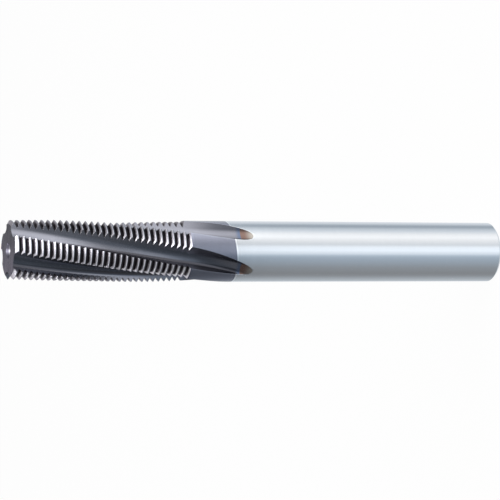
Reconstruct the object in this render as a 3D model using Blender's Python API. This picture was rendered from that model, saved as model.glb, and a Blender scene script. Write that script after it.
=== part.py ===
"""Solid carbide thread mill, ground from one round rod.

The tool stands on the end of its shank: the origin is the centre of that end face and
+Z runs along the axis to the cutting tip. Metres. Angles are turned about +Z.

The body is a loft of closed sections that change along the axis: five lands and five
flutes, with ring-shaped thread teeth across each land, then plain lands whose flutes
grow shallow along the arc of the grinding wheel, then the round shank.
"""
import math

import bpy
import numpy as np

MM = 0.001

# Blank
SHANK_DIAMETER = 10.0 * MM
CUTTER_DIAMETER = 10.0 * MM
OVERALL_LENGTH = 85.0 * MM
SHANK_CHAMFER = 0.45 * MM

# Thread form: rings without a lead, one profile a pitch
THREAD_PITCH = 1.0 * MM
THREAD_ANGLE = math.radians(60.0)
CREST_FLAT = 0.125 * MM
ROOT_FLAT = 0.125 * MM
TEETH_PER_LAND = 29
HEEL_RELIEF = 0.25 * MM

# Flutes
FLUTE_COUNT = 5
HELIX_ANGLE = math.radians(11.0)
LAND_ANGLE = math.radians(30.1)
CORE_DIAMETER = 6.84 * MM
HEEL_WALL_ANGLE = math.radians(39.0)
RAKE_FILLET = 0.8 * MM
HEEL_FILLET = 2.0 * MM
FULL_DEPTH_PAST_TEETH = 0.56 * MM
WHEEL_RADIUS = 35.0 * MM
FIRST_EDGE_ANGLE = math.radians(-58.2)

# Centre recess in the tip
CENTRE_DIAMETER = 2.5 * MM
CENTRE_ANGLE = math.radians(90.0)

# Smoothness of the loft
RUNOUT_STEPS = 16
NOSE_HALF_ANGLE = math.radians(15.0)
PLAIN_RING_GAP = 1.0 * MM
CUTTER_OVERLAP = 0.5 * MM

# Sizes that follow from the ones above
CUTTER_RADIUS = CUTTER_DIAMETER / 2
SHANK_RADIUS = SHANK_DIAMETER / 2
CORE_RADIUS = CORE_DIAMETER / 2
SECTOR_ANGLE = 2 * math.pi / FLUTE_COUNT
FLUTE_ANGLE = SECTOR_ANGLE - LAND_ANGLE
PLUNGE_ANGLE = FLUTE_ANGLE / 2
TWIST_PER_METRE = math.tan(HELIX_ANGLE) / CUTTER_RADIUS
FLANK_RUN = (THREAD_PITCH - CREST_FLAT - ROOT_FLAT) / 2
TOOTH_HEIGHT = FLANK_RUN / math.tan(THREAD_ANGLE / 2)
ROOT_RADIUS = CUTTER_RADIUS - TOOTH_HEIGHT
THREAD_END = TEETH_PER_LAND * THREAD_PITCH + ROOT_FLAT / 2 + FLANK_RUN
FULL_DEPTH_END = THREAD_END + FULL_DEPTH_PAST_TEETH
NOSE_LIFT = SHANK_RADIUS - CORE_RADIUS
RUNOUT_LENGTH = math.sqrt(NOSE_LIFT * (2 * WHEEL_RADIUS - NOSE_LIFT))
RUNOUT_END = FULL_DEPTH_END + RUNOUT_LENGTH

# The wheel's outline, across the flute: a flat floor between two rounded walls.
# Each wall is given by its slope from the floor, its fillet and where its fillet starts.
RAKE_WALL_SLOPE = math.pi / 2 - PLUNGE_ANGLE
RAKE_CORNER = CORE_RADIUS * math.tan(PLUNGE_ANGLE)
HEEL_CORNER = (CUTTER_RADIUS * math.sin(PLUNGE_ANGLE)
               - (CUTTER_RADIUS * math.cos(PLUNGE_ANGLE) - CORE_RADIUS) / math.tan(HEEL_WALL_ANGLE))
FLOOR_WIDTH = RAKE_CORNER + HEEL_CORNER
RAKE_TANGENT = RAKE_FILLET * math.tan(RAKE_WALL_SLOPE / 2)
HEEL_TANGENT = HEEL_FILLET * math.tan(HEEL_WALL_ANGLE / 2)
FILLET_FIT = min(1.0, 0.95 * FLOOR_WIDTH / (RAKE_TANGENT + HEEL_TANGENT))
RAKE_RADIUS = RAKE_FILLET * FILLET_FIT
HEEL_RADIUS = HEEL_FILLET * FILLET_FIT
RAKE_START = RAKE_CORNER - RAKE_TANGENT * FILLET_FIT
HEEL_START = HEEL_CORNER - HEEL_TANGENT * FILLET_FIT

COATED_BACK = 37.1 * MM


def clear_scene():
    """Remove whatever objects the file opened with."""
    for old in list(bpy.data.objects):
        bpy.data.objects.remove(old, do_unlink=True)


def make_collection(name):
    """Add a collection to the scene."""
    collection = bpy.data.collections.new(name)
    bpy.context.scene.collection.children.link(collection)
    return collection


def make_material(name, colour, roughness):
    """A metallic Principled BSDF."""
    material = bpy.data.materials.new(name)
    material.use_nodes = True
    shader = material.node_tree.nodes["Principled BSDF"]
    shader.inputs["Base Color"].default_value = (*colour, 1.0)
    shader.inputs["Roughness"].default_value = roughness
    shader.inputs["Metallic"].default_value = 1.0
    material.diffuse_color = (*colour, 1.0)
    return material


def wall_height(across, slope, fillet):
    """Rise of one rounded wall at a distance beyond its fillet's start."""
    fillet_width = fillet * math.sin(slope)
    if across <= 0:
        return 0.0
    if across <= fillet_width:
        return fillet - math.sqrt(fillet ** 2 - across ** 2)
    return fillet * (1 - math.cos(slope)) + (across - fillet_width) * math.tan(slope)


def flute_floor(across):
    """Distance of the flute's surface from the axis, along the wheel's plunge.

    across is measured sideways from the plunge line, positive towards the heel wall.
    """
    rake_wall = wall_height(-across - RAKE_START, RAKE_WALL_SLOPE, RAKE_RADIUS)
    heel_wall = wall_height(across - HEEL_START, HEEL_WALL_ANGLE, HEEL_RADIUS)
    return CORE_RADIUS + rake_wall + heel_wall


def wheel_lift(from_tip):
    """How far the wheel has risen out of the rod at a distance from the tip."""
    along = min(max(from_tip - FULL_DEPTH_END, 0.0), RUNOUT_LENGTH)
    return WHEEL_RADIUS - math.sqrt(WHEEL_RADIUS ** 2 - along ** 2)


def mouth_edge(side, radius, lift):
    """Sideways place where the flute's wall meets a circle about the axis.

    side is -1 for the cutting edge and 1 for the heel. A mouth narrower than the nose
    keeps the nose's width, and the surface there is the circle itself.
    """
    inner = radius * math.sin(NOSE_HALF_ANGLE)
    outer = radius
    for _ in range(50):
        middle = (inner + outer) / 2
        if math.hypot(middle, flute_floor(side * middle) + lift) < radius:
            inner = middle
        else:
            outer = middle
    return side * inner


def flute_angle_and_radius(across, lift, radius):
    """Polar place of a point of the flute, never outside the circle of the rod."""
    on_circle = math.sqrt(radius ** 2 - across ** 2)
    depth = min(flute_floor(across) + lift, on_circle)
    return PLUNGE_ANGLE + math.atan2(across, depth), math.hypot(across, depth)


def floor_shares():
    """Places of the five points across a full flute, as shares of its mouth."""
    places = (
        -RAKE_START - RAKE_RADIUS * math.sin(RAKE_WALL_SLOPE),
        -RAKE_START - RAKE_RADIUS * math.sin(RAKE_WALL_SLOPE / 2),
        -RAKE_START,
        HEEL_START + HEEL_RADIUS * math.sin(HEEL_WALL_ANGLE) / 4,
        HEEL_START + HEEL_RADIUS * math.sin(HEEL_WALL_ANGLE) * 0.8,
    )
    first = mouth_edge(-1, CUTTER_RADIUS, 0.0)
    last = mouth_edge(1, CUTTER_RADIUS, 0.0)
    return [(place - first) / (last - first) for place in places]


def flute_points(radius, lift, cut_edge, heel_edge):
    """Polar places of the five points between the cutting edge and the next heel."""
    rising = min(lift / NOSE_LIFT, 1.0)
    full_first = mouth_edge(-1, radius, lift)
    full_last = mouth_edge(1, radius, lift)
    points = []
    for index, share in enumerate(floor_shares()):
        even_share = (index + 1) / 6
        blended = share + (even_share - share) * rising
        across = full_first + (full_last - full_first) * blended
        least = cut_edge + (heel_edge - cut_edge) * 0.01 * (index + 1)
        most = heel_edge - (heel_edge - cut_edge) * 0.01 * (5 - index)
        points.append(flute_angle_and_radius(min(max(across, least), most), lift, radius))
    return points


def sector_section(from_tip, land_radius, rod_radius, relief):
    """One land and the flute ahead of it, as polar places from the cutting edge.

    In order of rising angle: heel, middle of the land, cutting edge, five flute points.
    """
    lift = wheel_lift(from_tip)
    heel_radius = land_radius - relief
    cut_edge = mouth_edge(-1, land_radius, lift)
    heel_edge = mouth_edge(1, heel_radius, lift)
    edge_angle, edge_radius = flute_angle_and_radius(cut_edge, lift, land_radius)
    heel_angle, heel_radius = flute_angle_and_radius(heel_edge, lift, heel_radius)
    heel = (heel_angle - SECTOR_ANGLE, heel_radius)
    middle = ((heel[0] + edge_angle) / 2, (heel_radius + edge_radius) / 2)
    return [heel, middle, (edge_angle, edge_radius)] + flute_points(rod_radius, lift, cut_edge, heel_edge)


def edge_angle_at(from_tip):
    """Angle of the first land's cutting edge at a distance from the tip."""
    return FIRST_EDGE_ANGLE - TWIST_PER_METRE * from_tip


def ring_of_sectors(from_tip, land_radius, rod_radius, relief):
    """A closed section of the fluted part."""
    sector = np.array(sector_section(from_tip, land_radius, rod_radius, relief))
    turns = edge_angle_at(from_tip) + SECTOR_ANGLE * np.arange(FLUTE_COUNT)
    angles = (turns[:, None] + sector[None, :, 0]).ravel()
    radii = np.tile(sector[:, 1], FLUTE_COUNT)
    height = np.full(len(angles), OVERALL_LENGTH - from_tip)
    return np.column_stack((radii * np.cos(angles), radii * np.sin(angles), height))


def round_ring(from_tip, radius):
    """A closed round section of the shank, its points evenly spread."""
    points_per_sector = 8
    count = points_per_sector * FLUTE_COUNT
    step = 2 * math.pi / count
    nose_angle = edge_angle_at(RUNOUT_END) + PLUNGE_ANGLE
    start = round(nose_angle / step) - 5
    angles = (start + np.arange(count)) * step
    height = np.full(count, OVERALL_LENGTH - from_tip)
    return np.column_stack((radius * np.cos(angles), radius * np.sin(angles), height))


def thread_rows():
    """Distance from the tip and radius of each edge of the thread profile."""
    rows = [(0.0, ROOT_RADIUS), (ROOT_FLAT / 2, ROOT_RADIUS)]
    for tooth in range(TEETH_PER_LAND):
        crest = (tooth + 0.5) * THREAD_PITCH
        root = (tooth + 1) * THREAD_PITCH
        rows.append((crest - CREST_FLAT / 2, CUTTER_RADIUS))
        rows.append((crest + CREST_FLAT / 2, CUTTER_RADIUS))
        rows.append((root - ROOT_FLAT / 2, ROOT_RADIUS))
        rows.append((root + ROOT_FLAT / 2, ROOT_RADIUS))
    return rows


def all_rings():
    """Every section of the tool, from the tip to the end of the shank."""
    rings = []
    for from_tip, radius in thread_rows():
        rings.append(ring_of_sectors(from_tip, radius, CUTTER_RADIUS, HEEL_RELIEF))
    rings.append(ring_of_sectors(THREAD_END, CUTTER_RADIUS, CUTTER_RADIUS, 0.0))
    for step in range(RUNOUT_STEPS + 1):
        share = 1 - (1 - step / RUNOUT_STEPS) ** 1.5
        radius = CUTTER_RADIUS + (SHANK_RADIUS - CUTTER_RADIUS) * share
        from_tip = FULL_DEPTH_END + RUNOUT_LENGTH * share
        rings.append(ring_of_sectors(from_tip, radius, radius, 0.0))
    rings.append(round_ring(RUNOUT_END + PLAIN_RING_GAP, SHANK_RADIUS))
    rings.append(round_ring(OVERALL_LENGTH - SHANK_CHAMFER, SHANK_RADIUS))
    rings.append(round_ring(OVERALL_LENGTH, SHANK_RADIUS - SHANK_CHAMFER))
    return rings


def loft(rings):
    """Vertices and faces of a closed body through rings of equal count."""
    count = len(rings[0])
    vertices = np.concatenate(rings)
    around = np.arange(count)
    following = (around + 1) % count
    faces = []
    for row in range(len(rings) - 1):
        upper = row * count
        lower = upper + count
        for here, beside in zip(around, following):
            faces.append((upper + here, lower + here, lower + beside))
            faces.append((upper + here, lower + beside, upper + beside))
    last = (len(rings) - 1) * count
    faces.append(tuple(around))
    faces.append(tuple(last + around[::-1]))
    return vertices, [tuple(int(corner) for corner in face) for face in faces]


def make_tool(collection, coating, bare):
    """The whole tool as one closed mesh, coated in front and bare on the shank."""
    vertices, faces = loft(all_rings())
    mesh = bpy.data.meshes.new("thread_mill")
    mesh.from_pydata(vertices.tolist(), [], faces)
    mesh.materials.append(coating)
    mesh.materials.append(bare)
    border = OVERALL_LENGTH - COATED_BACK
    for face in mesh.polygons:
        if face.center.z < border:
            face.material_index = 1
    mesh.shade_smooth()
    mesh.set_sharp_from_angle(angle=math.radians(25.0))
    tool = bpy.data.objects.new("thread_mill", mesh)
    collection.objects.link(tool)
    return tool


def cut_centre(tool, cutters):
    """Sink the conical centre recess into the tip."""
    slope = math.tan(CENTRE_ANGLE / 2)
    depth = CENTRE_DIAMETER / 2 / slope
    length = depth + CUTTER_OVERLAP
    bpy.ops.mesh.primitive_cone_add(
        vertices=32,
        radius1=0.0,
        radius2=length * slope,
        depth=length,
        location=(0.0, 0.0, OVERALL_LENGTH - depth + length / 2),
    )
    cone = bpy.context.object
    cone.name = "centre_cutter"
    for home in list(cone.users_collection):
        home.objects.unlink(cone)
    cutters.objects.link(cone)
    cone.hide_render = True
    cone.display_type = "WIRE"
    cut = tool.modifiers.new("centre_recess", "BOOLEAN")
    cut.operation = "DIFFERENCE"
    cut.solver = "EXACT"
    cut.object = cone


def main():
    clear_scene()
    parts = make_collection("thread_mill")
    cutters = make_collection("cutters")
    coating = make_material("dark_coating", (0.12, 0.115, 0.14), 0.32)
    bare = make_material("ground_carbide", (0.62, 0.64, 0.67), 0.22)
    tool = make_tool(parts, coating, bare)
    cut_centre(tool, cutters)


main()
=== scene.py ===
# %% [markdown]
# # A thread mill, dressed for its portrait
#
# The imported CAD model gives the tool's place, size and body. This lesson builds the same
# form again with many more points, so that edges, fillets and the ends of the flutes look
# ground and not faceted. It then gives each ground surface its own finish and sets up a
# small studio round it. Everything is in metres, with the tool standing on its shank end
# and +Z along the axis to the cutting tip.

# %% Load the frame and keep its box
import math

import bpy
import numpy as np
from mathutils import Matrix, Vector


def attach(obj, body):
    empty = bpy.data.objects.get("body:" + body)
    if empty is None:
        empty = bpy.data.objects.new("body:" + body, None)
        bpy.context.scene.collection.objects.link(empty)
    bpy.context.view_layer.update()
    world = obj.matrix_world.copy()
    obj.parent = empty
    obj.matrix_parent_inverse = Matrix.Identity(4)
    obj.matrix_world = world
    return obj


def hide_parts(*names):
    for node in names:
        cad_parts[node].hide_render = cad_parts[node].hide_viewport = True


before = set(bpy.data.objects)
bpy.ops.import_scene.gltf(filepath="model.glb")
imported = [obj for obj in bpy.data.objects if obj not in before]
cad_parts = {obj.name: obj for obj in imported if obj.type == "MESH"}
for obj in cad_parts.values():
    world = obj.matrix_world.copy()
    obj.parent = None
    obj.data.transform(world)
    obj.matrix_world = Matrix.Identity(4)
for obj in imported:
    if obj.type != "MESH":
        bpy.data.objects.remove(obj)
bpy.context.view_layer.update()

# %% [markdown]
# ## The sizes of the tool
#
# A solid thread mill is ground from one rod of cemented carbide. Its teeth are rings, not
# a helix: the machine that turns it also moves it along a helix, and that motion makes the
# lead of the thread. The sizes below are the blank, the thread form and the flutes. The
# other sizes follow from them.

# %% Sizes in metres and angles in radians
MM = 0.001
OVERALL_LENGTH = 85.0 * MM
TOOL_RADIUS = 5.0 * MM
SHANK_CHAMFER = 0.45 * MM

THREAD_PITCH = 1.0 * MM
THREAD_ANGLE = math.radians(60.0)
CREST_FLAT = 0.125 * MM
ROOT_FLAT = 0.125 * MM
TEETH_PER_LAND = 29
HEEL_RELIEF = 0.25 * MM

FLUTE_COUNT = 5
HELIX_ANGLE = math.radians(11.0)
LAND_ANGLE = math.radians(30.1)
CORE_RADIUS = 3.42 * MM
HEEL_WALL_ANGLE = math.radians(39.0)
RAKE_FILLET = 0.8 * MM
HEEL_FILLET = 2.0 * MM
FULL_DEPTH_PAST_TEETH = 0.56 * MM
WHEEL_RADIUS = 35.0 * MM
FIRST_EDGE_ANGLE = math.radians(-58.2)

RECESS_RADIUS = 1.25 * MM
RECESS_HALF_ANGLE = math.radians(45.0)

SECTOR_ANGLE = 2 * math.pi / FLUTE_COUNT
PLUNGE_ANGLE = (SECTOR_ANGLE - LAND_ANGLE) / 2
TWIST_PER_METRE = math.tan(HELIX_ANGLE) / TOOL_RADIUS
FLANK_RUN = (THREAD_PITCH - CREST_FLAT - ROOT_FLAT) / 2
ROOT_RADIUS = TOOL_RADIUS - FLANK_RUN / math.tan(THREAD_ANGLE / 2)
THREAD_END = TEETH_PER_LAND * THREAD_PITCH + ROOT_FLAT / 2 + FLANK_RUN
FULL_DEPTH_END = THREAD_END + FULL_DEPTH_PAST_TEETH
NOSE_LIFT = TOOL_RADIUS - CORE_RADIUS
RUNOUT_LENGTH = math.sqrt(NOSE_LIFT * (2 * WHEEL_RADIUS - NOSE_LIFT))
RUNOUT_END = FULL_DEPTH_END + RUNOUT_LENGTH
print("root radius", ROOT_RADIUS, "flutes end at", RUNOUT_END)

# %% [markdown]
# ## The profile of the teeth along the axis
#
# The profile is a straight-sided trapezoid, one a pitch. A real ground corner is never
# perfectly sharp: it has a radius of a few hundredths of a millimetre, and that radius is
# what catches a thin line of light. Each corner is therefore replaced by three points,
# one before it, one pulled inwards and one after it. A Bevel modifier could do this too,
# but it would also bevel the helical edges and cost far more faces.

# %% Round the corners of a path
CREST_ROUND = 0.09 * MM
EDGE_ROUND = 0.025 * MM
LONGEST_REACH = 0.45


def rounded(before, corner, after, reach):
    """Three points in place of a corner: back along one side by the reach, the mean of
    the corner and the two others, and on along the other side by the reach. The reach
    stays under half of a side."""
    to_before = before - corner
    to_after = after - corner
    length_before = np.linalg.norm(to_before, axis=-1, keepdims=True)
    length_after = np.linalg.norm(to_after, axis=-1, keepdims=True)
    first = corner + to_before * np.minimum(reach / length_before, LONGEST_REACH)
    last = corner + to_after * np.minimum(reach / length_after, LONGEST_REACH)
    return first, (first + 2 * corner + last) / 4, last


def round_path(path, reach):
    """A path of (distance, radius) points with every inner corner rounded."""
    inner = rounded(path[:-2], path[1:-1], path[2:], reach)
    return np.concatenate((path[:1], np.stack(inner, axis=1).reshape(-1, 2), path[-1:]))


# %% The rows of the toothed part
def tooth_corners():
    """Corners of the profile: for each pitch, up a flank, over the crest, down a flank
    and along the root; then the last flank, which rises to the plain land."""
    crest = (np.arange(TEETH_PER_LAND) + 0.5) * THREAD_PITCH
    root = crest + 0.5 * THREAD_PITCH
    places = np.stack((crest - CREST_FLAT / 2, crest + CREST_FLAT / 2,
                       root - ROOT_FLAT / 2, root + ROOT_FLAT / 2), axis=1)
    radii = np.tile((TOOL_RADIUS, TOOL_RADIUS, ROOT_RADIUS, ROOT_RADIUS), (TEETH_PER_LAND, 1))
    start = np.array([[0.0, ROOT_RADIUS], [ROOT_FLAT / 2, ROOT_RADIUS]])
    end = np.array([[THREAD_END, TOOL_RADIUS], [FULL_DEPTH_END, TOOL_RADIUS]])
    return np.concatenate((start, np.stack((places, radii), axis=2).reshape(-1, 2), end))


toothed = round_path(tooth_corners(), CREST_ROUND)[1:]
print("rows in the toothed part", len(toothed))

# %% [markdown]
# ## The flutes
#
# A grinding wheel sinks into the rod, follows the helix, and at the end rises out of the
# rod again along the arc of its own radius. Seen across the flute, its rim leaves a flat
# floor between two rounded walls: the steep rake wall under the cutting edge, and the
# flatter heel wall of the next land. A Boolean with a swept cutter could cut this, but
# the edge of the flute's end would be ragged. Working out where the wheel's surface meets
# the rod's circle keeps a row of points exactly on that edge.

# %% The wheel's outline and its path
RAKE_WALL_SLOPE = math.pi / 2 - PLUNGE_ANGLE
RAKE_START = (CORE_RADIUS * math.tan(PLUNGE_ANGLE)
              - RAKE_FILLET * math.tan(RAKE_WALL_SLOPE / 2))
HEEL_HEIGHT = TOOL_RADIUS * math.cos(PLUNGE_ANGLE) - CORE_RADIUS
HEEL_CORNER = TOOL_RADIUS * math.sin(PLUNGE_ANGLE) - HEEL_HEIGHT / math.tan(HEEL_WALL_ANGLE)
HEEL_START = HEEL_CORNER - HEEL_FILLET * math.tan(HEEL_WALL_ANGLE / 2)
NOSE_HALF_WIDTH = 0.06 * MM
HALVINGS = 45
print("flat of the flute's floor from", -RAKE_START, "to", HEEL_START)


def wall_height(across, slope, fillet):
    """Rise of a rounded wall: an arc of the fillet's radius, then a straight slope."""
    across = np.maximum(across, 0.0)
    arc_width = fillet * math.sin(slope)
    arc = fillet - np.sqrt(fillet ** 2 - np.minimum(across, arc_width) ** 2)
    return arc + np.maximum(across - arc_width, 0.0) * math.tan(slope)


def flute_floor(across):
    """Distance of the wheel's outline from the axis: the core's radius plus both walls."""
    rake_wall = wall_height(-across - RAKE_START, RAKE_WALL_SLOPE, RAKE_FILLET)
    heel_wall = wall_height(across - HEEL_START, HEEL_WALL_ANGLE, HEEL_FILLET)
    return CORE_RADIUS + rake_wall + heel_wall


def wheel_lift(from_tip):
    """Rise of the wheel: the sagitta of its arc, measured from the end of full depth."""
    along = np.clip(from_tip - FULL_DEPTH_END, 0.0, RUNOUT_LENGTH)
    return WHEEL_RADIUS - np.sqrt(WHEEL_RADIUS ** 2 - along ** 2)


def mouth_edge(side, radius, lift):
    """Sideways place where the wheel's outline crosses a circle, found by halving."""
    inner = np.full_like(radius, NOSE_HALF_WIDTH)
    outer = radius.copy()
    for _ in range(HALVINGS):
        middle = (inner + outer) / 2
        inside = np.hypot(middle, flute_floor(side * middle) + lift) < radius
        inner = np.where(inside, middle, inner)
        outer = np.where(inside, outer, middle)
    return side * inner


def flute_point(across, lift, radius):
    """Point of the flute in the frame of its plunge line, never outside the circle."""
    depth = np.minimum(flute_floor(across) + lift, np.sqrt(radius ** 2 - across ** 2))
    return np.stack((depth, across), axis=-1)


# %% [markdown]
# ## One sector of the section
#
# The tool is the same five times round, so one land with the flute ahead of it is enough.
# A section is a row of points: the rounded heel corner, the land, the rounded cutting
# edge, and the flute. The land of a toothed row is backed off, from the cutting edge to
# its heel, so that only the edge touches the work. All rows are worked out together as
# arrays of (rows, points, 2).

# %% Sections of the fluted part
CORNER_POINTS = 3
LAND_INNER = 11
FLUTE_INNER = 23
EDGE_COLUMN = CORNER_POINTS + LAND_INNER
FLUTE_COLUMN = EDGE_COLUMN + CORNER_POINTS
COLUMNS = FLUTE_COLUMN + FLUTE_INNER
print("points in a sector", COLUMNS)


def turned(points, angle):
    """Points of a section turned about the axis."""
    cosine = np.cos(angle)
    sine = np.sin(angle)
    x = points[..., 0] * cosine - points[..., 1] * sine
    y = points[..., 0] * sine + points[..., 1] * cosine
    return np.stack((x, y), axis=-1)


def land_points(heel, edge):
    """Inner points of a land: angle and radius change evenly from heel to edge."""
    share = (np.arange(LAND_INNER) + 1) / (LAND_INNER + 1)
    angles = np.arctan2([heel[:, 1], edge[:, 1]], [heel[:, 0], edge[:, 0]])
    radii = np.hypot([heel[:, 1], edge[:, 1]], [heel[:, 0], edge[:, 0]])
    angle = angles[0][:, None] + (angles[1] - angles[0])[:, None] * share
    radius = radii[0][:, None] + (radii[1] - radii[0])[:, None] * share
    return np.stack((radius * np.cos(angle), radius * np.sin(angle)), axis=-1)


def flute_places(radius, lift):
    """Sideways places of the inner points of a flute: packed where the walls bend, and
    spread evenly over the mouth as the flute closes."""
    first, last = (mouth_edge(hand, np.array([TOOL_RADIUS]), 0.0)[0] for hand in (-1, 1))
    rake_end = -RAKE_START - RAKE_FILLET * math.sin(RAKE_WALL_SLOPE)
    heel_end = HEEL_START + HEEL_FILLET * math.sin(HEEL_WALL_ANGLE)
    packed = np.concatenate((
        np.linspace(rake_end, -RAKE_START, 9),
        np.linspace(-RAKE_START, HEEL_START, 3)[1:-1],
        np.linspace(HEEL_START, heel_end, 12),
        [heel_end + 0.08 * MM],
    ))
    packed_share = (packed - first) / (last - first)
    even_share = (np.arange(FLUTE_INNER) + 1) / (FLUTE_INNER + 1)
    rising = np.minimum(lift / NOSE_LIFT, 1.0)[:, None]
    share = packed_share + (even_share - packed_share) * rising
    start = mouth_edge(-1, radius, lift)[:, None]
    end = mouth_edge(1, radius, lift)[:, None]
    return start + (end - start) * share


def sector_sections(from_tip, land_radius, relief):
    """One land and one flute for every row, as points and as places across the flute."""
    lift = wheel_lift(from_tip)
    rod = np.full_like(land_radius, TOOL_RADIUS)
    heel_radius = land_radius - relief
    edge_place = mouth_edge(-1, land_radius, lift)
    heel_place = mouth_edge(1, heel_radius, lift)
    edge = turned(flute_point(edge_place, lift, land_radius), PLUNGE_ANGLE)
    heel_ahead = turned(flute_point(heel_place, lift, heel_radius), PLUNGE_ANGLE)
    heel = turned(heel_ahead, -SECTOR_ANGLE)
    land = land_points(heel, edge)
    places = flute_places(rod, lift)
    flute = turned(flute_point(places, lift[:, None], rod[:, None]), PLUNGE_ANGLE)
    behind = turned(flute[:, -1], -SECTOR_ANGLE)
    heel_corner = np.stack(rounded(behind, heel, land[:, 0], EDGE_ROUND), axis=1)
    edge_corner = np.stack(rounded(land[:, -1], edge, flute[:, 0], EDGE_ROUND), axis=1)
    points = np.concatenate((heel_corner, land, edge_corner, flute), axis=1)
    across = np.zeros(points.shape[:2])
    across[:, :CORNER_POINTS] = heel_place[:, None]
    across[:, EDGE_COLUMN:FLUTE_COLUMN] = edge_place[:, None]
    across[:, FLUTE_COLUMN:] = places
    return points, across


# %% [markdown]
# ## All rows, from the tip to the shank end
#
# After the teeth the rows crowd towards the nose of the flute, where its mouth closes
# fastest. Behind the nose the rod is round, and the points slide along its circle until
# they are evenly spread. The tip is closed by a flat ground face with a small conical
# centre recess, and the shank by its chamfer and its flat end.

# %% Rows of the runout and of the shank
RUNOUT_ROWS = 40
RUNOUT_CROWDING = 1.6
SLIDE_LENGTH = 4.0 * MM
SLIDE_ROWS = 8
SLIDE_CROWDING = 1.5
PLAIN_ROWS = 6
SHANK_EDGE_ROUND = 0.06 * MM
SMALLEST_RING = 0.3 * MM


def fluted_rows():
    """Distance from the tip, land radius and relief of each row with flutes."""
    share = 1 - (1 - (np.arange(RUNOUT_ROWS) + 1) / RUNOUT_ROWS) ** RUNOUT_CROWDING
    runout = FULL_DEPTH_END + RUNOUT_LENGTH * share
    from_tip = np.concatenate((toothed[:, 0], runout))
    radius = np.concatenate((toothed[:, 1], np.full(RUNOUT_ROWS, TOOL_RADIUS)))
    last_flank = (from_tip - (THREAD_END - FLANK_RUN)) / FLANK_RUN
    return from_tip, radius, HEEL_RELIEF * (1 - np.clip(last_flank, 0.0, 1.0))


def whole_rings(sector, from_tip, turn):
    """Five turned copies of a sector for each row, as (rows, points, 3)."""
    turns = turn[:, None] + SECTOR_ANGLE * np.arange(FLUTE_COUNT)
    copies = turned(sector[:, None], turns[:, :, None])
    flat = copies.reshape(len(sector), -1, 2)
    height = np.broadcast_to((OVERALL_LENGTH - from_tip)[:, None], flat.shape[:2])
    return np.concatenate((flat, height[..., None]), axis=2)


def round_rings(from_tip, radius, angles):
    """Round rows: each has its own radius and its own angles."""
    ring = np.broadcast_to(radius[:, None], angles.shape)
    height = np.broadcast_to((OVERALL_LENGTH - from_tip)[:, None], angles.shape)
    return np.stack((ring * np.cos(angles), ring * np.sin(angles), height), axis=2)


from_tip, land_radius, relief = fluted_rows()
sector, across = sector_sections(from_tip, land_radius, relief)
turn = FIRST_EDGE_ANGLE - TWIST_PER_METRE * from_tip
fluted = whole_rings(sector, from_tip, turn)
ring_count = fluted.shape[1]
print("fluted rows", len(fluted), "points in a ring", ring_count)

# %% The shank behind the noses
nose_angles = np.unwrap(np.arctan2(fluted[-1, :, 1], fluted[-1, :, 0]))
even_angles = np.arange(ring_count) * (2 * math.pi / ring_count)
even_angles = even_angles + np.mean(nose_angles - even_angles)
slide = ((np.arange(SLIDE_ROWS) + 1) / SLIDE_ROWS) ** SLIDE_CROWDING
slide_tip = RUNOUT_END + SLIDE_LENGTH * slide
smooth = (slide * slide * (3 - 2 * slide))[:, None]
slide_angles = nose_angles + (even_angles - nose_angles) * smooth
sliding = round_rings(slide_tip, np.full(SLIDE_ROWS, TOOL_RADIUS), slide_angles)

shank_path = round_path(np.array([
    [slide_tip[-1], TOOL_RADIUS],
    [OVERALL_LENGTH - SHANK_CHAMFER, TOOL_RADIUS],
    [OVERALL_LENGTH, TOOL_RADIUS - SHANK_CHAMFER],
    [OVERALL_LENGTH, SMALLEST_RING],
]), SHANK_EDGE_ROUND)[1:]
plain_tip = np.linspace(slide_tip[-1], shank_path[0, 0], PLAIN_ROWS + 2)[1:-1]
shank_tip = np.concatenate((plain_tip, shank_path[:, 0]))
shank_radius = np.concatenate((np.full(PLAIN_ROWS, TOOL_RADIUS), shank_path[:, 1]))
shank = round_rings(shank_tip, shank_radius, np.tile(even_angles, (len(shank_tip), 1)))
print("shank rows", len(sliding) + len(shank))

# %% The flat tip and its centre recess
FACE_ROWS = 5
FIRST_CONE_SHARE = 0.08
RIM_INSIDE = 0.06 * MM
RIM_OUTSIDE = 0.08 * MM
RIM_ROUND = 0.02 * MM
EDGE_BEND = 0.3 * EDGE_ROUND


def tip_rings(outline):
    """Rows of the recess and of the flat face. A face row lies between the recess's rim
    and the outline; the last two rows round the outline's edge."""
    angles = np.arctan2(outline[:, 1], outline[:, 0])
    distance = np.hypot(outline[:, 0], outline[:, 1])
    outward = outline[:, :2] / distance[:, None]
    slope = math.tan(RECESS_HALF_ANGLE)
    cone = round_path(np.array([
        [RECESS_RADIUS / slope, 0.0],
        [RIM_INSIDE / slope, RECESS_RADIUS - RIM_INSIDE],
        [0.0, RECESS_RADIUS],
        [0.0, RECESS_RADIUS + RIM_OUTSIDE],
    ]), RIM_ROUND)[1:]
    cone_steps = np.linspace(FIRST_CONE_SHARE, 0.85, 6)
    cone_tip = np.concatenate(((1 - cone_steps) * RECESS_RADIUS / slope, cone[:, 0]))
    cone_radius = np.concatenate((cone_steps * RECESS_RADIUS, cone[:, 1]))
    cone_rings = round_rings(cone_tip, cone_radius, np.tile(angles, (len(cone_tip), 1)))
    rim = cone_rings[-1]
    inset = np.column_stack((outward * (distance - EDGE_ROUND)[:, None], rim[:, 2]))
    share = (np.arange(FACE_ROWS) / FACE_ROWS)[1:, None, None]
    face_rings = rim + (inset - rim) * share
    bend = np.column_stack((outward * (distance - EDGE_BEND)[:, None],
                            np.full(len(rim), OVERALL_LENGTH - EDGE_BEND)))
    return cone_rings, np.concatenate((face_rings, inset[None], bend[None]))


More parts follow.
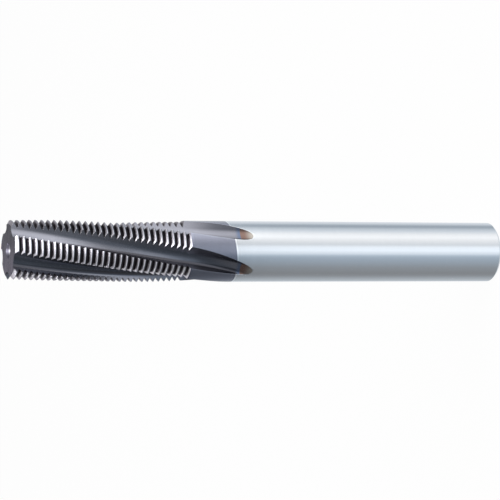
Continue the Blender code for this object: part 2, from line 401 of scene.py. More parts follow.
start = np.zeros(1)
start_sector, _ = sector_sections(start, start + ROOT_RADIUS, start + HEEL_RELIEF)
start_ring = whole_rings(start_sector, start, start + FIRST_EDGE_ANGLE)[0]
recess, face = tip_rings(start_ring)
print("recess rows", len(recess), "face rows", len(face))

# %% [markdown]
# ## The mesh
#
# The rows are stacked into one grid, and each cell of the grid is a four-sided face. The
# first and last rows close on a single point. The shading normals are worked out here as
# well: each vertex takes the sum of the normals of its faces, weighted by their areas, so
# that a wide ground flat stays flat and only the small corner radius bends. On the round
# shank the normal is simply the direction away from the axis.

# %% Stack the rows and find which surface each face belongs to
grid = np.concatenate((recess, face, fluted, sliding, shank))
row_total = len(grid)
first_face_row = len(recess) - 1
first_fluted_row = len(recess) + len(face)
nose_row = first_fluted_row + len(fluted) - 1

OUTSIDE, FLUTE, TIP_FACE, RECESS, FLANK, VALLEY = range(6)
STEEP = 0.8
slope = np.diff(land_radius) / np.diff(from_tip)
low = (land_radius[1:] + land_radius[:-1]) / 2 < (TOOL_RADIUS + ROOT_RADIUS) / 2
row_kind = np.where(slope > STEEP, FLANK, np.where((slope < -STEEP) | low, VALLEY, OUTSIDE))
fluted_kind = np.repeat(row_kind[:, None], COLUMNS, axis=1)
fluted_kind[:, FLUTE_COLUMN - 1:] = FLUTE
face_kind = np.full((row_total - 1, ring_count), OUTSIDE)
face_kind[:first_face_row] = RECESS
face_kind[first_face_row:first_fluted_row] = TIP_FACE
face_kind[first_fluted_row:nose_row] = np.tile(fluted_kind, FLUTE_COUNT)
print("faces of each kind", np.bincount(face_kind.ravel()).tolist())


def grid_normals(points):
    """Area-weighted normals of a grid that is closed across: each cell's normal is the
    cross product of its diagonals, and a vertex adds those of its four cells."""
    beside = np.roll(points, -1, axis=1)
    diagonal_a = beside[1:] - points[:-1]
    diagonal_b = points[1:] - beside[:-1]
    cell = np.cross(diagonal_b, diagonal_a)
    total = np.zeros_like(points)
    for part in (cell, np.roll(cell, 1, axis=1)):
        total[:-1] += part
        total[1:] += part
    return total / np.linalg.norm(total, axis=2, keepdims=True)


normals = grid_normals(grid)
radial = grid[..., :2] / np.linalg.norm(grid[..., :2], axis=2, keepdims=True)
round_rows = slice(nose_row + 1, row_total - len(shank_path) + 2)
normals[round_rows, :, :2] = radial[round_rows]
normals[round_rows, :, 2] = 0.0


# %% Make the mesh
def grid_cells(rows, count):
    """Point numbers of a grid that is closed across, those of the points beside them,
    and the four corners of each cell."""
    index = np.arange(rows * count).reshape(rows, count)
    beside = np.roll(index, -1, axis=1)
    cells = np.stack((index[:-1], index[1:], beside[1:], beside[:-1]), axis=2)
    return index, beside, cells.reshape(-1, 4)


def grid_mesh(name, points, point_normals, kinds):
    """A closed mesh from a grid of points, with one more point at each end."""
    rows, count = points.shape[:2]
    tip_pole = rows * count
    end_pole = tip_pole + 1
    cone_depth = FIRST_CONE_SHARE * RECESS_RADIUS / math.tan(RECESS_HALF_ANGLE)
    poles = np.array([[0.0, 0.0, points[0, 0, 2] - cone_depth],
                      [0.0, 0.0, points[-1, 0, 2]]])
    index, beside, quads = grid_cells(rows, count)
    top = np.column_stack((np.full(count, tip_pole), index[0], beside[0]))
    bottom = np.column_stack((np.full(count, end_pole), beside[-1], index[-1]))
    corners = np.concatenate((quads.ravel(), top.ravel(), bottom.ravel()))
    sizes = np.concatenate((np.full(len(quads), 4), np.full(2 * count, 3)))
    materials = np.concatenate((kinds.ravel(), np.repeat((RECESS, OUTSIDE), count)))
    mesh = bpy.data.meshes.new(name)
    mesh.vertices.add(rows * count + 2)
    mesh.vertices.foreach_set("co", np.concatenate((points.reshape(-1, 3), poles)).ravel())
    mesh.loops.add(len(corners))
    mesh.loops.foreach_set("vertex_index", corners)
    mesh.polygons.add(len(sizes))
    mesh.polygons.foreach_set("loop_start", np.cumsum(sizes) - sizes)
    mesh.polygons.foreach_set("material_index", materials)
    mesh.polygons.foreach_set("use_smooth", np.ones(len(sizes), dtype=bool))
    mesh.update(calc_edges=True)
    pole_normals = np.array([[0.0, 0.0, 1.0], [0.0, 0.0, -1.0]])
    every_normal = np.concatenate((point_normals.reshape(-1, 3), pole_normals))
    mesh.normals_split_custom_set_from_vertices(every_normal.tolist())
    return mesh


tool_mesh = grid_mesh("thread_mill_ground", grid, normals, face_kind)
tool = bpy.data.objects.new("thread_mill_ground", tool_mesh)
bpy.context.scene.collection.objects.link(tool)
print("triangles", int(sum(len(face.vertices) - 2 for face in tool_mesh.polygons)))

# %% [markdown]
# ## Marks that follow the grinding, and painted light and shade
#
# A wheel leaves fine lines along its path, so the lines in a flute follow the helix. Each
# point therefore carries its place across and along the flute, which the flute's material
# reads. A second number marks the cutting edges, the crests and the heel corners, where the
# coating is worn thin and lighter; on the crests and heel corners this lighter colour is
# also painted highlight. A third number is painted shade: it tells how deep a point lies
# between the teeth, from 0 on a crest to 1 in a root, and darkens a flank where the tooth
# ahead would shade it. It stays low on the first tooth, which has no tooth ahead, and at
# the heel end of each land, where light reaches in from the flute. Such numbers could also
# be worked out in the shader from the place alone, but the rows already know them, and a
# stored number can't drift from the form.

# %% Store the three marks on the points
SECTOR_GAP = 10 * MM
CREST_BAND = 0.05 * MM
# Wear of the coating at the edges, and painted highlight on the crests and heel corners.
HEEL_WEAR_AND_HIGHLIGHT, CREST_WEAR_AND_HIGHLIGHT, WEAR_AND_HIGHLIGHT_BEHIND_TEETH = 0.5, 0.65, 0.2
# Painted shade between the teeth: its share on the first tooth and at the heel end of each land.
FIRST_TOOTH_SHADE = 0.25
SHADE_AT_HEEL = (0.15, 0.15, 0.15, 0.35, 0.85)

fluted_slice = slice(first_fluted_row, nose_row + 1)
grain = np.zeros((row_total, ring_count, 3))
grain[fluted_slice, :, 0] = np.tile(across, FLUTE_COUNT)
grain[fluted_slice, :, 1] = from_tip[:, None]
grain[fluted_slice, :, 2] = np.repeat(np.arange(FLUTE_COUNT), COLUMNS) * SECTOR_GAP

edge_columns = np.zeros(COLUMNS)
edge_columns[EDGE_COLUMN:FLUTE_COLUMN - 1] = 1.0
edge_columns[:CORNER_POINTS] = HEEL_WEAR_AND_HIGHLIGHT
land_columns = np.arange(COLUMNS) < FLUTE_COLUMN
on_crest = (land_radius > TOOL_RADIUS - CREST_BAND) & (from_tip < THREAD_END - FLANK_RUN / 2)
sector_wear_and_highlight = np.maximum(edge_columns, CREST_WEAR_AND_HIGHLIGHT * on_crest[:, None] * land_columns)
sector_wear_and_highlight[from_tip > THREAD_END] *= WEAR_AND_HIGHLIGHT_BEHIND_TEETH
near_edge = np.zeros((row_total, ring_count))
near_edge[fluted_slice] = np.tile(sector_wear_and_highlight, FLUTE_COUNT)

# Painted shade: depth between the teeth, less where no tooth ahead would shade the flank.
row_painted_shade = (TOOL_RADIUS - land_radius) / (TOOL_RADIUS - ROOT_RADIUS)
row_painted_shade[from_tip < 0.5 * THREAD_PITCH] *= FIRST_TOOTH_SHADE
column_shade_share = np.ones(COLUMNS)
column_shade_share[:len(SHADE_AT_HEEL)] = SHADE_AT_HEEL
tooth_depth = np.zeros((row_total, ring_count))
tooth_depth[fluted_slice] = row_painted_shade[:, None] * np.tile(column_shade_share, FLUTE_COUNT)

for layer_name, kind, field, marks in (("flute_grain", "FLOAT_VECTOR", "vector", grain),
                                       ("near_edge", "FLOAT", "value", near_edge),
                                       ("tooth_depth", "FLOAT", "value", tooth_depth)):
    layer = tool_mesh.attributes.new(layer_name, kind, "POINT")
    at_poles = np.zeros(2 * marks.size // (row_total * ring_count))
    layer.data.foreach_set(field, np.append(marks.ravel(), at_poles))
print("attributes", [layer.name for layer in tool_mesh.attributes])

# %% [markdown]
# ## A small language for materials
#
# Blender's shader nodes are easy to read as arithmetic. The class below wraps one socket,
# and the usual signs between such values add Math nodes. One method adds any other node.

# %% The node helpers
class Value:
    """One output socket. Arithmetic on it adds Math nodes to its tree."""

    def __init__(self, look, socket):
        self.look = look
        self.socket = socket

    def math(self, operation, *others):
        return self.look.math(operation, self, *others)

    def __add__(self, other):
        return self.look.math("ADD", self, other)

    def __radd__(self, other):
        return self.look.math("ADD", other, self)

    def __sub__(self, other):
        return self.look.math("SUBTRACT", self, other)

    def __rsub__(self, other):
        return self.look.math("SUBTRACT", other, self)

    def __mul__(self, other):
        return self.look.math("MULTIPLY", self, other)

    def __rmul__(self, other):
        return self.look.math("MULTIPLY", other, self)

    def __truediv__(self, other):
        return self.look.math("DIVIDE", self, other)

    def __rtruediv__(self, other):
        return self.look.math("DIVIDE", other, self)


class Look:
    """A node tree under construction."""

    def __init__(self, tree):
        self.tree = tree

    def feed(self, socket, value):
        """Link a value to a socket, or write a plain number or colour on it."""
        if isinstance(value, Value):
            self.tree.links.new(value.socket, socket)
        else:
            socket.default_value = value

    def node(self, kind, settings=None, inputs=None, output=0):
        """Add a node, apply its settings, feed its sockets and return one output."""
        made = self.tree.nodes.new("ShaderNode" + kind)
        for name, setting in (settings or {}).items():
            if name == "stops":
                self.fill_ramp(made.color_ramp, setting)
            else:
                setattr(made, name, setting)
        for name, value in (inputs or {}).items():
            self.feed(made.inputs[name], value)
        return Value(self, made.outputs[output])

    def fill_ramp(self, ramp, stops):
        """Write the stops of a colour ramp, given as (place, colour)."""
        while len(ramp.elements) < len(stops):
            ramp.elements.new(1.0)
        for element, (place, colour) in zip(ramp.elements, stops):
            element.position = place
            element.color = (*colour, 1.0)

    def math(self, operation, *values):
        return self.node("Math", {"operation": operation}, dict(enumerate(values)))

    def step(self, value, low, high):
        """0 below low, 1 above high, and a smooth rise between."""
        settings = {"interpolation_type": "SMOOTHSTEP"}
        inputs = {"Value": value, "From Min": low, "From Max": high}
        return self.node("MapRange", settings, inputs)

    def blend(self, share, colour_a, colour_b):
        """A mix of two colours. The Mix node has sockets of the same name for each kind
        of data, so those for colours are given by their numbers."""
        settings = {"data_type": "RGBA"}
        return self.node("Mix", settings, {0: share, 6: colour_a, 7: colour_b}, output=2)

    def place(self):
        """Object coordinates, and the three of them as values."""
        coordinates = self.node("TexCoord", output="Object")
        split = self.node("SeparateXYZ", None, {"Vector": coordinates}).socket.node
        return coordinates, [Value(self, output) for output in split.outputs]

    def scaled(self, vector, scale):
        """A vector stretched by a number along each axis."""
        settings = {"operation": "MULTIPLY"}
        return self.node("VectorMath", settings, {0: vector, 1: scale})

    def noise(self, vector, scale, detail=3.0):
        """Noise from 0 to 1 on a vector, stretched by a number or by one for each axis."""
        if isinstance(scale, tuple):
            vector, scale = self.scaled(vector, scale), 1.0
        inputs = {"Vector": vector, "Scale": scale, "Detail": detail, "Roughness": 0.55}
        return self.node("TexNoise", None, inputs)

    def bump(self, height, strength, distance):
        """A normal that leans with the slope of a height."""
        inputs = {"Strength": strength, "Distance": distance, "Height": height}
        return self.node("Bump", None, inputs)

    def attribute(self, name, output="Fac"):
        """A number or vector stored on the mesh."""
        return self.node("Attribute", {"attribute_name": name}, None, output)

    def seen(self):
        """1 for rays from the camera, from mirrors and through glass, 0 for all others."""
        path = self.node("LightPath").socket.node
        camera, glossy, through = (
            Value(self, path.outputs[name])
            for name in ("Is Camera Ray", "Is Glossy Ray", "Is Transmission Ray"))
        return (camera + glossy + through).math("MINIMUM", 1.0)


def new_material(name, metallic=1.0):
    """A material with its Principled shader, ready for its colour."""
    material = bpy.data.materials.new(name)
    material.use_nodes = True
    shader = material.node_tree.nodes["Principled BSDF"]
    shader.inputs["Metallic"].default_value = metallic
    return material, Look(material.node_tree), shader


def rgb(red, green, blue):
    """A colour of a node socket, written as linear shares."""
    return (red, green, blue, 1.0)


# %% [markdown]
# ## The coating and the bare carbide
#
# The cutting part carries a hard coating a few thousandths of a millimetre thick, dark
# violet-grey and satin. The shank is ground bright after it. The border between them runs
# round the tool at a slight slant, with a fresh white line where the grinding of the shank
# stopped. Both are metals to the eye: their colour is the colour of what they reflect,
# tinted and dimmed. One material holds both, because the border lies on one smooth surface
# and has no edge in the form.

# %% Colours and borders
COATING = rgb(0.305, 0.315, 0.38)
COATING_DARK = rgb(0.215, 0.22, 0.27)
FLUTE_COATING = rgb(0.255, 0.252, 0.285)
FLUTE_DARK = rgb(0.165, 0.168, 0.192)
VALLEY_SHADE = rgb(0.012, 0.010, 0.013)
VALLEY_SHADE_PALE = rgb(0.045, 0.042, 0.05)
FLANK_COATING = rgb(0.40, 0.385, 0.41)
CARBIDE = rgb(0.66, 0.68, 0.70)
CARBIDE_DIM = rgb(0.62, 0.64, 0.67)
CARBIDE_FRESH = rgb(0.80, 0.81, 0.83)
THIN_BLUE = rgb(0.12, 0.15, 0.22)
THIN_BROWN = rgb(0.185, 0.12, 0.10)
THIN_TAN = rgb(0.35, 0.325, 0.29)
FACE_SHINE = rgb(0.66, 0.64, 0.69)
FACE_VIOLET = rgb(0.10, 0.095, 0.12), rgb(0.20, 0.19, 0.23)
FACE_TEAL = rgb(0.035, 0.042, 0.045), rgb(0.09, 0.095, 0.10)
RECESS_RIM = rgb(0.10, 0.096, 0.12), rgb(0.17, 0.165, 0.20)
RECESS_PAINTED_HIGHLIGHT = rgb(0.74, 0.73, 0.77)
FLANK_SHINE = rgb(0.85, 0.83, 0.87)
COATED_LENGTH = 37.11 * MM
BORDER_SLANT = 0.108
TINT_LENGTH = 38.2 * MM
print("coating ends", COATED_LENGTH, "from the tip, its tint in the flutes", TINT_LENGTH)


def radius_of(x, y):
    """Distance from the axis."""
    return (x * x + y * y).math("SQRT")


# %% The outside: lands, teeth and shank
def outside_material():
    """Coated lands and a bright shank, with fine lines round the axis."""
    material, look, shader = new_material("coated_lands_and_bright_shank")
    coordinates, (x, y, z) = look.place()
    border = OVERALL_LENGTH - COATED_LENGTH + x * BORDER_SLANT
    coated = look.step(z - border, -0.06 * MM, 0.06 * MM)
    lines = look.noise(coordinates, (120.0, 120.0, 5200.0))
    cloud = look.noise(coordinates, 320.0)
    coat = look.blend(cloud * 0.5 + lines * 0.5, COATING_DARK, COATING)
    # Lighter towards bare carbide at the edges and crests: worn coating, and on the crests and
    # heel corners painted highlight.
    coat = look.blend(look.attribute("near_edge") * 0.6, coat, CARBIDE)
    bare = look.blend(cloud * 0.4 + lines * 0.6, CARBIDE_DIM, CARBIDE)
    rim = look.step(z - border, -0.32 * MM, -0.12 * MM)
    bare = look.blend(rim, bare, CARBIDE_FRESH)
    look.feed(shader.inputs["Base Color"], look.blend(coated, bare, coat))
    look.feed(shader.inputs["Roughness"], 0.11 + coated * 0.13 + lines * 0.04)
    look.feed(shader.inputs["Normal"], look.bump(lines, 0.25, 0.004 * MM))
    return material


# %% [markdown]
# ## The flutes and their tinted ends
#
# The flutes are ground before the coating, so they keep their lines along the helix under
# it. The small fillet at the foot of the rake wall, and the whole rake wall where the wheel
# rises, are painted darker: painted shade in the hollow of the flute. Behind the border only
# the thin fringe of the coating reaches into the flutes. So thin a film takes its colour
# from interference: blue first, then brown, then tan and clear at the nose. The colours are
# set by the distance from the tip, which is simpler than a film's own optics and can be
# matched to the eye.

# %% The flute material
def flute_material():
    """Coated flutes with grinding lines along the helix; past the coating's border a
    blue and then a brown and tan film is left, which fades out at the nose."""
    material, look, shader = new_material("coated_flutes_with_tinted_ends")
    coordinates, (x, y, z) = look.place()
    grain_vector = look.attribute("flute_grain", "Vector")
    lines = look.noise(grain_vector, (9000.0, 90.0, 1000.0))
    cloud = look.noise(coordinates, 380.0)
    coat = look.blend(cloud * 0.5 + lines * 0.5, FLUTE_DARK, FLUTE_COATING)
    place_across = look.node("SeparateXYZ", None, {"Vector": grain_vector})
    past = OVERALL_LENGTH - z
    # Painted shade: the rake fillet, and the rake wall past the teeth, take mostly the
    # near-black valley colour.
    rake_face = 1 - look.step(place_across, -1.45 * MM, -1.25 * MM)
    rake_face = rake_face * (1 - look.step(past, THREAD_END, THREAD_END + 2 * MM))
    flat_floor = look.step(place_across, -0.95 * MM, -0.7 * MM)
    coat = look.blend(0.35 + (flat_floor + rake_face) * 0.65, VALLEY_SHADE, coat)
    blue = look.step(past, TINT_LENGTH - 0.9 * MM, TINT_LENGTH - 0.1 * MM)
    brown = look.step(past, TINT_LENGTH - 0.03 * MM, TINT_LENGTH + 0.03 * MM)
    nose = look.step(past, TINT_LENGTH + 0.5 * MM, RUNOUT_END - 0.2 * MM)
    film = look.blend(nose, THIN_BROWN, THIN_TAN)
    colour = look.blend(brown, look.blend(blue, coat, THIN_BLUE), film)
    depth = TOOL_RADIUS - radius_of(x, y)
    worn = look.step(depth, 0.0, 0.06 * MM)
    colour = look.blend(1 - (1 - worn) * brown, CARBIDE, colour)
    look.feed(shader.inputs["Base Color"], colour)
    look.feed(shader.inputs["Roughness"], 0.17 + lines * 0.08)
    look.feed(shader.inputs["Normal"], look.bump(lines, 0.3, 0.006 * MM))
    return material


# %% [markdown]
# ## The tip face and the teeth
#
# The end is ground flat in one pass, which leaves parallel lines; the coating on it is seen
# nearly from the side and shows as violet-grey, darker towards one edge. The centre recess
# held the rod between centres while it was ground; deep inside it, a light colour is painted
# highlight. On the teeth the crests are lighter where the coating wears, and also by painted
# highlight. The flanks that face the tip are light near the crest and painted darker towards
# the root, as painted shade where the tooth ahead would shade them. The roots and the flanks
# behind are painted shade too, matt and nearly black. A metal shines at a glancing angle
# whatever its colour, so the dark roots are a matt ceramic here and the flanks' edge tint is
# low.

# %% The materials of the tip face and the recess
def tip_material():
    """A flat ground face with straight parallel lines. Its film shifts from violet to
    teal across the face, as a thin film does where its thickness changes."""
    material, look, shader = new_material("coated_tip_face")
    coordinates, (x, _, _) = look.place()
    shader.inputs["Specular Tint"].default_value = FACE_SHINE
    lines = look.noise(coordinates, (250.0, 5200.0, 0.0))
    cloud = look.noise(coordinates, 500.0)
    share = look.step(cloud * 0.4 + lines * 0.6, 0.35, 0.65)
    violet = look.blend(share, *FACE_VIOLET)
    teal = look.blend(share, *FACE_TEAL)
    colour = look.blend(look.step(x, -4 * MM, 4 * MM), violet, teal)
    look.feed(shader.inputs["Base Color"], colour)
    look.feed(shader.inputs["Roughness"], 0.22 + lines * 0.1)
    look.feed(shader.inputs["Normal"], look.bump(lines, 0.35, 0.006 * MM))
    return material


def recess_material():
    """The centre recess: coated like the face at its rim, and lighter deep inside as painted
    highlight, which brightens the lamp's glint there."""
    material, look, shader = new_material("coated_recess")
    shader.inputs["Specular Tint"].default_value = FACE_SHINE
    coordinates, (x, y, _) = look.place()
    rings = look.noise(coordinates, (200.0, 200.0, 6000.0), 2.0)
    rim = look.blend(rings, *RECESS_RIM)
    # Painted highlight: a light colour deep in the recess, where the lamp's glint falls.
    painted_shading = 1 - look.step(radius_of(x, y), 0.45 * MM, 1.0 * MM)
    look.feed(shader.inputs["Base Color"], look.blend(painted_shading, rim, RECESS_PAINTED_HIGHLIGHT))
    look.feed(shader.inputs["Roughness"], 0.28 + rings * 0.1)
    return material


# %% The materials of the teeth
def flank_material():
    """Flanks that face the tip: satin and light near the crest, at the heel end and on the
    first tooth, and painted darker towards the root, as painted shade from the tooth ahead."""
    material, look, shader = new_material("satin_tooth_flanks")
    shader.inputs["Roughness"].default_value = 0.36
    shader.inputs["Specular Tint"].default_value = FLANK_SHINE
    coordinates, _ = look.place()
    lines = look.noise(coordinates, (900.0, 900.0, 5200.0))
    coat = look.blend(lines * 0.5, FLANK_COATING, COATING_DARK)
    # Painted shade: the flank darkens towards the root, where the tooth ahead would shade it.
    painted_shading = look.step(look.attribute("tooth_depth"), 0.10, 0.64)
    look.feed(shader.inputs["Base Color"], look.blend(painted_shading, coat, VALLEY_SHADE))
    return material


def valley_material():
    """The roots and the flanks that face the shank: painted shade, a near-black matt ceramic."""
    material, look, shader = new_material("painted_shade_tooth_valleys", 0.0)
    shader.inputs["Specular IOR Level"].default_value = 0.15
    coordinates, _ = look.place()
    cloud = look.noise(coordinates, 900.0)
    look.feed(shader.inputs["Base Color"], look.blend(cloud, VALLEY_SHADE, VALLEY_SHADE_PALE))
    look.feed(shader.inputs["Roughness"], 0.4 + cloud * 0.15)
    return material


for finish in (outside_material(), flute_material(), tip_material(), recess_material(),
               flank_material(), valley_material()):
    tool_mesh.materials.append(finish)
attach(tool, "root")
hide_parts("thread_mill")
print("finishes", [finish.name for finish in tool_mesh.materials])

# %% [markdown]
# ## The studio
#
# A polished round bar is a mirror that shows its whole surroundings as bands along its
# length, so the surroundings decide its look. The floor is plain white, as in the photo,
# and keeps only a trace of the tool's shadow. A light tent stands round the tool, and only
# reflections see it. Seen from the camera, the shank mirrors a low ring of its cloth and
# the cutting part the cloth above that ring, so the two rings have their own brighter and
# darker strips, as if cards of grey and white board hung behind the cloth. The upper
# ring's front strips lean a little, which makes the bands in the flutes run at a slant.
# White cards hang overhead. Real lamps behind a real cloth would do the same with far more
# noise in the picture.

# %% The white floor
FLOOR_HALF_WIDTH = 2.5
FLOOR_GLOW_SHARE = 0.95


def stage_object(name, mesh):
    """Link a mesh as part of the stage."""
    made = bpy.data.objects.new(name, mesh)
    bpy.context.scene.collection.objects.link(made)
    return made


def floor_material():
    """White paper: seen by the camera it is nearly all lit from within, which keeps it
    white and leaves a trace of the shadow on it."""
    material, look, shader = new_material("white_paper", 0.0)
    shader.inputs["Base Color"].default_value = rgb(0.9, 0.9, 0.9)
    shader.inputs["Roughness"].default_value = 0.9
    shader.inputs["Specular IOR Level"].default_value = 0.1
    paper = Value(look, shader.outputs["BSDF"])
    glow = look.node("Emission", None, {"Color": rgb(1, 1, 1), "Strength": 1.0})
    inputs = {0: look.seen() * FLOOR_GLOW_SHARE, 1: paper, 2: glow}
    mixed = look.node("MixShader", None, inputs)
    output = material.node_tree.nodes["Material Output"]
    look.feed(output.inputs["Surface"], mixed)
    return material


floor_mesh = bpy.data.meshes.new("paper_floor")
floor_corners = [(x * FLOOR_HALF_WIDTH, y * FLOOR_HALF_WIDTH, 0.0)
                 for x, y in ((-1, -1), (1, -1), (1, 1), (-1, 1))]
floor_mesh.from_pydata(floor_corners, [], [(0, 1, 2, 3)])
floor_mesh.materials.append(floor_material())
floor = stage_object("paper_floor", floor_mesh)
print("floor", FLOOR_HALF_WIDTH * 2, "metres wide")

# %% The strips of the tent's two rings: angle in degrees, level and cool share
NEAR_BANDS = (
    (-180, 0.85, 0.4), (-150, 0.68, 0.4), (-124, 0.55, 0.4), (-106, 0.40, 0.3), (-92, 0.35, 0.2),
    (-64, 0.41, 0.4), (-32, 0.57, 0.9), (-20, 0.66, 0.9), (-13, 0.84, 0.8), (-8, 1.12, 0.5),
    (-2, 1.22, 0.4), (4, 1.42, 0.4), (17, 1.36, 0.3), (27, 1.02, 0.2), (36, 1.12, 0.1),
    (47, 1.26, 0.0), (58, 1.42, 0.0), (70, 1.30, 0.0), (88, 0.97, 0.4), (100, 0.80, 0.5),
    (111, 0.56, 0.7), (121, 0.56, 0.7), (133, 0.80, 0.5), (145, 0.92, 0.3), (180, 0.85, 0.4),
)
FAR_BANDS = (
    (-180, 0.80, 0.0), (-160, 0.35, 0.5), (-120, 0.10, 1.0), (-90, 0.11, 1.1), (-73, 0.13, 1.1),
    (-55, 0.15, 1.1), (-36, 0.17, 1.1), (-18, 0.22, 1.0), (0, 0.28, 0.9), (15, 0.34, 0.8),
    (28, 0.34, 0.9), (41, 0.39, 0.8), (50, 0.68, 0.5), (58, 1.45, 0.2), (66, 2.15, 0.1),
    (78, 2.50, 0.1), (100, 2.40, 0.1), (120, 1.30, 0.2), (140, 1.00, 0.2), (180, 0.80, 0.0),
)
COOL = (0.84, 1.0, 1.16)
RAMP_CEILING = 4.0
print("strips in the rings", len(NEAR_BANDS), "and", len(FAR_BANDS))

# %% The light tent
TENT_RADIUS = 0.6
TENT_ROWS = 60
TENT_COLUMNS = 96


def tent_mesh():
    """A sphere round the tool, as a surface of revolution."""
    rise = np.radians(np.linspace(-89.8, 89.8, TENT_ROWS))
    angle = np.arange(TENT_COLUMNS) * (2 * math.pi / TENT_COLUMNS)
    ring = TENT_RADIUS * np.cos(rise)[:, None]
    height = np.broadcast_to(TENT_RADIUS * np.sin(rise)[:, None], (TENT_ROWS, TENT_COLUMNS))
    points = np.stack((ring * np.cos(angle), ring * np.sin(angle), height), axis=2)
    quads = grid_cells(TENT_ROWS, TENT_COLUMNS)[2]
    mesh = bpy.data.meshes.new("light_tent")
    mesh.from_pydata(points.reshape(-1, 3).tolist(), [], quads.tolist())
    return mesh


# Each card overhead: its direction, the angles of its full part and of its edge in
# degrees, and its level.
CARDS = (
    ((0.03, -0.27, 0.96), 15, 22, 3.5),
    ((0.03, -0.77, 0.64), 22, 34, 1.4),
    ((0.75, -0.25, 0.62), 18, 30, 1.2),
    ((-0.72, -0.30, 0.62), 18, 30, 1.2),
    ((-0.42, 0.67, 0.61), 16, 28, 0.8),
)
CEILING_LEVEL = 0.5
BRIGHTEST = 5.0
BRIGHTEST_COLOUR = rgb(5.0, 5.0, 5.1)

# Where the two rings meet, how the front strips lean, and where grey cloth and the
# ceiling begin. Heights are in metres, angles in degrees from straight ahead.
RING_BORDER = -0.160, -0.150
FRONT_EDGE = -25, -13
FRONT_RAISE = 0.012
SIDE_EDGE = 28, 40
SIDE_DROP = 0.007
LOW_SLANT, LOW_SLANT_HEIGHTS = 20, (-0.155, -0.125)
HIGH_SLANT, HIGH_SLANT_HEIGHTS = 30, (-0.105, -0.078)
GREY_CLOTH, GREY_SHARE, GREY_HEIGHTS = rgb(0.6, 0.6, 0.6), 0.35, (-0.05, 0.05)
CEILING_HEIGHTS = 0.24, 0.34


def turn_share(degrees):
    """An angle as a share of a turn, where 0.5 is straight ahead of the tool."""
    return 0.5 + degrees / 360


def band_colour(look, azimuth, bands):
    """Colour of the cloth round the tool: a level, and a share of a cool tint. The ramp
    holds each level as a share of a ceiling."""
    stops = []
    for angle, level, cool in bands:
        tint = [1 + (part - 1) * cool for part in COOL]
        stops.append((turn_share(angle), [level * part / RAMP_CEILING for part in tint]))
    band = look.node("ValToRGB", {"stops": stops}, {"Fac": azimuth})
    return look.scaled(band, (RAMP_CEILING,) * 3)


def tent_material():
    """Glow by direction: round the tool as bands, one set low down, which the shank
    mirrors, and one above it for the cutting part. Overhead hang a few bright cards."""
    material = bpy.data.materials.new("tent_cloth")
    material.use_nodes = True
    tree = material.node_tree
    tree.nodes.clear()
    look = Look(tree)
    coordinates, (x, y, z) = look.place()
    azimuth = look.math("ARCTAN2", x, 0 - y) / (2 * math.pi) + 0.5
    front = look.step(azimuth, *map(turn_share, FRONT_EDGE))
    side = look.step(azimuth, *map(turn_share, SIDE_EDGE))
    far = look.step(z - front * FRONT_RAISE + side * SIDE_DROP, *RING_BORDER)
    low_slant = (1 - look.step(z, *LOW_SLANT_HEIGHTS)) * (LOW_SLANT / 360)
    high_slant = look.step(z, *HIGH_SLANT_HEIGHTS) * (HIGH_SLANT / 360)
    far_colour = band_colour(look, azimuth + (low_slant + high_slant) * front, FAR_BANDS)
    bands = look.blend(far, band_colour(look, azimuth, NEAR_BANDS), far_colour)
    bands = look.blend(look.step(z, *GREY_HEIGHTS) * GREY_SHARE, bands, GREY_CLOTH)
    direction = look.node("VectorMath", {"operation": "NORMALIZE"}, {0: coordinates})
    level_above = CEILING_LEVEL
    for centre, inner, outer, level in CARDS:
        inputs = {0: direction, 1: tuple(Vector(centre).normalized())}
        settings = {"operation": "DOT_PRODUCT"}
        closeness = look.node("VectorMath", settings, inputs, output="Value")
        edge = math.cos(math.radians(outer)), math.cos(math.radians(inner))
        level_above = look.step(closeness, *edge) * level + level_above
    above = look.blend(level_above / BRIGHTEST, rgb(0, 0, 0), BRIGHTEST_COLOUR)
    colour = look.blend(look.step(z, *CEILING_HEIGHTS), bands, above)
    glow = look.node("Emission", None, {"Color": colour, "Strength": 1.0})
    output = tree.nodes.new("ShaderNodeOutputMaterial")
    look.feed(output.inputs["Surface"], glow)
    material.cycles.emission_sampling = "NONE"
    return material


tent_surface = tent_mesh()
tent_surface.materials.append(tent_material())
tent = stage_object("light_tent", tent_surface)
floor.visible_glossy = False
for kind in ("camera", "diffuse", "shadow", "volume_scatter"):
    setattr(tent, "visible_" + kind, False)
print("tent faces", len(tent_surface.polygons), "overhead cards", len(CARDS))

# %% [markdown]
# ## The lamps
#
# Two small lamps beyond the tip light the satin flanks that face it, each from its own
# side. The tooth ahead would shade each flank from them, so they cast no shadow here; on a
# real set, a row of small mirrors would carry their light in between the teeth. The third
# lamp is wide and soft, gives the floor what shadow it has and isn't mirrored by the tool.

# %% Lamps and world
def softbox(name, place, aim, width, watts):
    """A square lamp that points at a place."""
    lamp = bpy.data.lights.new(name, "AREA")
    lamp.shape = "SQUARE"
    lamp.size = width
    lamp.energy = watts
    made = bpy.data.objects.new(name, lamp)
    made.location = place
    made.rotation_euler = (Vector(place) - Vector(aim)).to_track_quat("Z", "Y").to_euler()
    bpy.context.scene.collection.objects.link(made)
    return made


TEETH_AIM = 0.0, 0.0, 0.07
MIDDLE_AIM = 0.0, 0.0, 0.04
tip_lamp = softbox("tip_softbox", (0.05, 0.14, 0.535), TEETH_AIM, width=0.12, watts=1.15)
back_lamp = softbox("back_softbox", (-0.28, 0.40, 0.43), TEETH_AIM, width=0.12, watts=0.2)
for lamp in (tip_lamp, back_lamp):
    lamp.data.use_shadow = False
    lamp.data.cycles.use_multiple_importance_sampling = False
side_lamp = softbox("side_softbox", (0.35, -0.25, 0.75), MIDDLE_AIM, width=0.6, watts=3.0)
side_lamp.visible_glossy = False

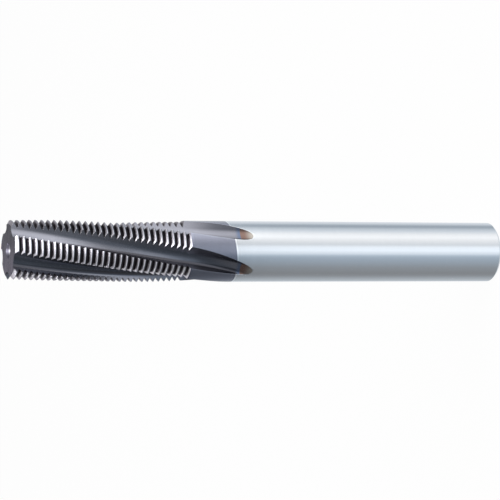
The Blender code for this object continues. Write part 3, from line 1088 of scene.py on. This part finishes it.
FILL_LIGHT = 0.2
world = bpy.data.worlds.new("studio")
world.use_nodes = True
background = world.node_tree.nodes["Background"]
background.inputs["Color"].default_value = rgb(1, 1, 1)
world_look = Look(world.node_tree)
strength = FILL_LIGHT + (1 - FILL_LIGHT) * world_look.seen()
world_look.feed(background.inputs["Strength"], strength)
bpy.context.scene.world = world
print("lamps in watts", [lamp.data.energy for lamp in (tip_lamp, back_lamp, side_lamp)])

# %% [markdown]
# ## The camera
#
# The tool fills the picture from edge to edge, lying across it with its tip to the left.
# The camera therefore looks down at the standing tool at about twenty degrees and is
# rolled a quarter turn, so that +Z points left and +X points up.

# %% The photograph's view
CAMERA_TILT = math.radians(20.58)
CAMERA_ROLL = math.radians(0.16)
CAMERA_DISTANCE = 0.4139
FOCAL_PIXELS = 2504.0
PICTURE_PIXELS = 500.0
AIM_HEIGHT = OVERALL_LENGTH - 41.234 * MM
AIM_OFFSET = 0.243 * MM

forward = Vector((0.0, math.cos(CAMERA_TILT), -math.sin(CAMERA_TILT)))
across_picture = Vector((0.0, -math.sin(CAMERA_TILT), -math.cos(CAMERA_TILT)))
up_picture = Vector((1.0, 0.0, 0.0))
camera_x = across_picture * math.cos(CAMERA_ROLL) + up_picture * math.sin(CAMERA_ROLL)
camera_y = up_picture * math.cos(CAMERA_ROLL) - across_picture * math.sin(CAMERA_ROLL)
camera_place = Vector((AIM_OFFSET, 0.0, AIM_HEIGHT)) - forward * CAMERA_DISTANCE

camera_data = bpy.data.cameras.new("portrait")
camera_data.sensor_width = 36.0
camera_data.lens = FOCAL_PIXELS / PICTURE_PIXELS * camera_data.sensor_width
camera_data.clip_start = 0.01
camera_data.clip_end = 20.0
camera = bpy.data.objects.new("portrait", camera_data)
camera.matrix_world = (Matrix.Translation(camera_place)
                       @ Matrix((camera_x, camera_y, -forward)).transposed().to_4x4())
bpy.context.scene.collection.objects.link(camera)
bpy.context.scene.camera = camera
print("camera at", tuple(camera_place), "lens in mm", camera_data.lens)

# %% Colour management
bpy.context.scene.view_settings.view_transform = "Standard"
